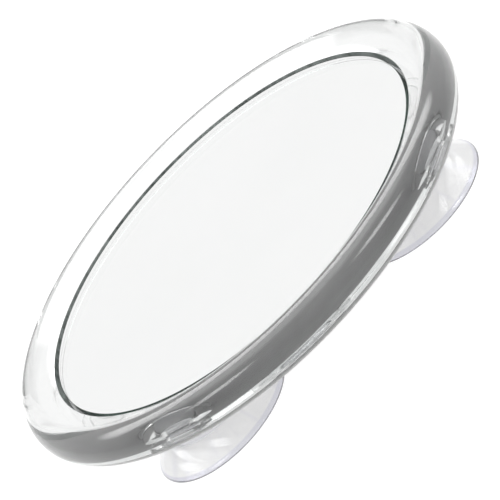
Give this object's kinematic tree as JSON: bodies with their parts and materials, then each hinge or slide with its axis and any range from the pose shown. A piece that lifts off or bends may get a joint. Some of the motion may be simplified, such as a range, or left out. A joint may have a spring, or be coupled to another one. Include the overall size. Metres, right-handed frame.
{
  "type": "magnifying mirror",
  "caption": "Round magnifying mirror in a thick clear acrylic frame, held on a smooth wall by clear suction cups.",
  "frame": {"origin": "on the frame's axis, in the plane of the suction cups' lips, which it rests on", "axes": "+Z out of the mirror's face, away from the wall; +Y towards the first suction cup"},
  "size_m": [0.1712, 0.1712, 0.0329],
  "materials": {
    "clear_acrylic": "polished, clear and colourless",
    "float_glass": "polished, with a fine ground seam at its edge",
    "silver_coating": "bright silver towards the glass",
    "grey_pad": "matt grey foam with adhesive on both faces",
    "clear_vinyl": "clear soft PVC, glossy, with a faint violet tint"
  },
  "bodies": {
    "mirror": {"clear_frame": "clear_acrylic", "mirror_glass": "float_glass", "silvered_backing": "silver_coating", "bonding_pad": "grey_pad"},
    "cup_1": {"suction_cup_1": "clear_vinyl"},
    "cup_2": {"suction_cup_2": "clear_vinyl"},
    "cup_3": {"suction_cup_3": "clear_vinyl"}
  },
  "joints": [
    {"name": "cup_1_swivel", "type": "hinge", "parent": "mirror", "child": "cup_1", "pos_m": [0, 0.0497, 0.0172], "axis": [0, 0, 1], "continuous": true},
    {"name": "cup_2_swivel", "type": "hinge", "parent": "mirror", "child": "cup_2", "pos_m": [-0.04304, -0.02485, 0.0172], "axis": [0, 0, 1], "continuous": true},
    {"name": "cup_3_swivel", "type": "hinge", "parent": "mirror", "child": "cup_3", "pos_m": [0.04304, -0.02485, 0.0172], "axis": [0, 0, 1], "continuous": true}
  ]
}
